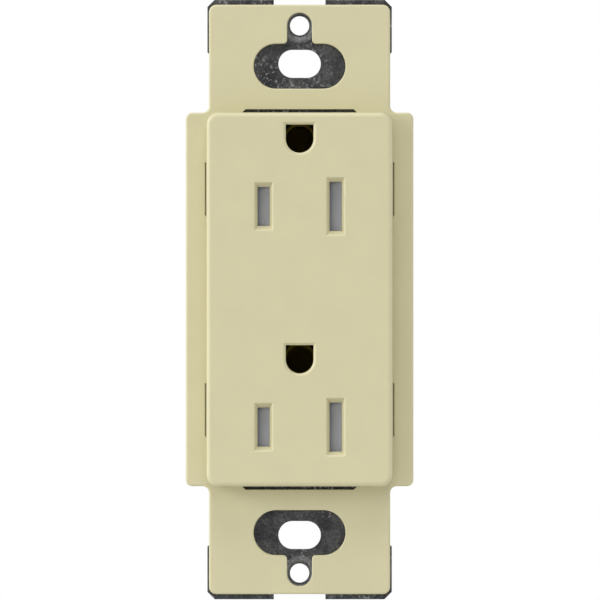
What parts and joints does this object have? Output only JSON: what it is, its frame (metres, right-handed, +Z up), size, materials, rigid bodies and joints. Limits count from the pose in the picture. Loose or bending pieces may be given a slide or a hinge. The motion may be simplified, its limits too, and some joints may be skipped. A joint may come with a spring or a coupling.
{
  "type": "duplex wall outlet",
  "caption": "Rectangular-face duplex wall outlet with shuttered blade slots, a trim frame and a steel mounting strap.",
  "frame": {"origin": "midway between the two box screw slots, on the rear face of the mounting strap", "axes": "+X to the right seen from the room, +Z up with the ground holes above the blades, +Y into the wall"},
  "size_m": [0.0402, 0.0307, 0.106],
  "materials": {
    "device_plastic": "smooth moulded, soft sheen",
    "shutter_plastic": "moulded grey",
    "housing_plastic": "moulded, fine texture",
    "zinc_steel": "zinc plated, worn",
    "brass": "stamped sheet",
    "contact_bronze": "phosphor bronze, darkened",
    "nickel_screw": "plated",
    "green_screw": "green dyed plating",
    "spring_steel": "drawn wire"
  },
  "bodies": {
    "housing": {"face": "device_plastic", "trim_frame": "device_plastic", "mounting_strap": "zinc_steel", "rear_body": "housing_plastic", "neutral_bus": "brass", "hot_bus": "brass", "ground_bus": "zinc_steel", "ground_contact_upper": "contact_bronze", "ground_contact_lower": "contact_bronze", "ground_rivet_right": "nickel_screw", "ground_rivet_left": "nickel_screw", "shutter_tray_upper": "shutter_plastic", "shutter_tray_lower": "shutter_plastic", "shutter_spring_upper": "spring_steel", "shutter_spring_lower": "spring_steel", "drive_pin_upper_left": "nickel_screw", "drive_pin_upper_right": "nickel_screw", "drive_pin_lower_left": "nickel_screw", "drive_pin_lower_right": "nickel_screw"},
    "shutter_upper_slider": {"shutter_upper": "shutter_plastic"},
    "shutter_lower_slider": {"shutter_lower": "shutter_plastic"},
    "screw_hot_upper": {"terminal_screw_hot_upper": "brass"},
    "clamp_hot_upper": {"clamp_plate_hot_upper": "nickel_screw"},
    "screw_hot_lower": {"terminal_screw_hot_lower": "brass"},
    "clamp_hot_lower": {"clamp_plate_hot_lower": "nickel_screw"},
    "screw_neutral_upper": {"terminal_screw_neutral_upper": "nickel_screw"},
    "clamp_neutral_upper": {"clamp_plate_neutral_upper": "nickel_screw"},
    "screw_neutral_lower": {"terminal_screw_neutral_lower": "nickel_screw"},
    "clamp_neutral_lower": {"clamp_plate_neutral_lower": "nickel_screw"},
    "ground_screw_body": {"ground_screw": "green_screw"}
  },
  "joints": [
    {"name": "shutter_upper_slide", "type": "slide", "parent": "housing", "child": "shutter_upper_slider", "axis": [1, 0, 0], "range_m": [0, 0.0026], "stiffness_N_per_m": 150, "springref_m": -0.002, "deforming": ["shutter_spring_upper"]},
    {"name": "shutter_lower_slide", "type": "slide", "parent": "housing", "child": "shutter_lower_slider", "axis": [1, 0, 0], "range_m": [0, 0.0026], "stiffness_N_per_m": 150, "springref_m": -0.002, "deforming": ["shutter_spring_lower"]},
    {"name": "screw_hot_upper_turn", "type": "hinge", "parent": "housing", "child": "screw_hot_upper", "pos_m": [-0.0172, 0.0085, 0.0068], "axis": [1, 0, 0], "range_deg": [0, 900]},
    {"name": "clamp_hot_upper_draw", "type": "slide", "parent": "housing", "child": "clamp_hot_upper", "axis": [-1, 0, 0], "range_m": [0, 0.00198]},
    {"name": "screw_hot_lower_turn", "type": "hinge", "parent": "housing", "child": "screw_hot_lower", "pos_m": [-0.0172, 0.0085, -0.0129], "axis": [1, 0, 0], "range_deg": [0, 900]},
    {"name": "clamp_hot_lower_draw", "type": "slide", "parent": "housing", "child": "clamp_hot_lower", "axis": [-1, 0, 0], "range_m": [0, 0.00198]},
    {"name": "screw_neutral_upper_turn", "type": "hinge", "parent": "housing", "child": "screw_neutral_upper", "pos_m": [0.0172, 0.0085, 0.0068], "axis": [-1, 0, 0], "range_deg": [0, 900]},
    {"name": "clamp_neutral_upper_draw", "type": "slide", "parent": "housing", "child": "clamp_neutral_upper", "axis": [1, 0, 0], "range_m": [0, 0.00198]},
    {"name": "screw_neutral_lower_turn", "type": "hinge", "parent": "housing", "child": "screw_neutral_lower", "pos_m": [0.0172, 0.0085, -0.0129], "axis": [-1, 0, 0], "range_deg": [0, 900]},
    {"name": "clamp_neutral_lower_draw", "type": "slide", "parent": "housing", "child": "clamp_neutral_lower", "axis": [1, 0, 0], "range_m": [0, 0.00198]},
    {"name": "ground_screw_turn", "type": "hinge", "parent": "housing", "child": "ground_screw_body", "pos_m": [0.0127, 0.0049, 0.0373], "axis": [-1, 0, 0], "range_deg": [-1080, 0]}
  ],
  "couplings": [
    {"joint": "screw_hot_upper_turn", "follows": "clamp_hot_upper_draw", "rad_per_m": 7915.8},
    {"joint": "screw_hot_lower_turn", "follows": "clamp_hot_lower_draw", "rad_per_m": 7915.8},
    {"joint": "screw_neutral_upper_turn", "follows": "clamp_neutral_upper_draw", "rad_per_m": 7915.8},
    {"joint": "screw_neutral_lower_turn", "follows": "clamp_neutral_lower_draw", "rad_per_m": 7915.8}
  ]
}
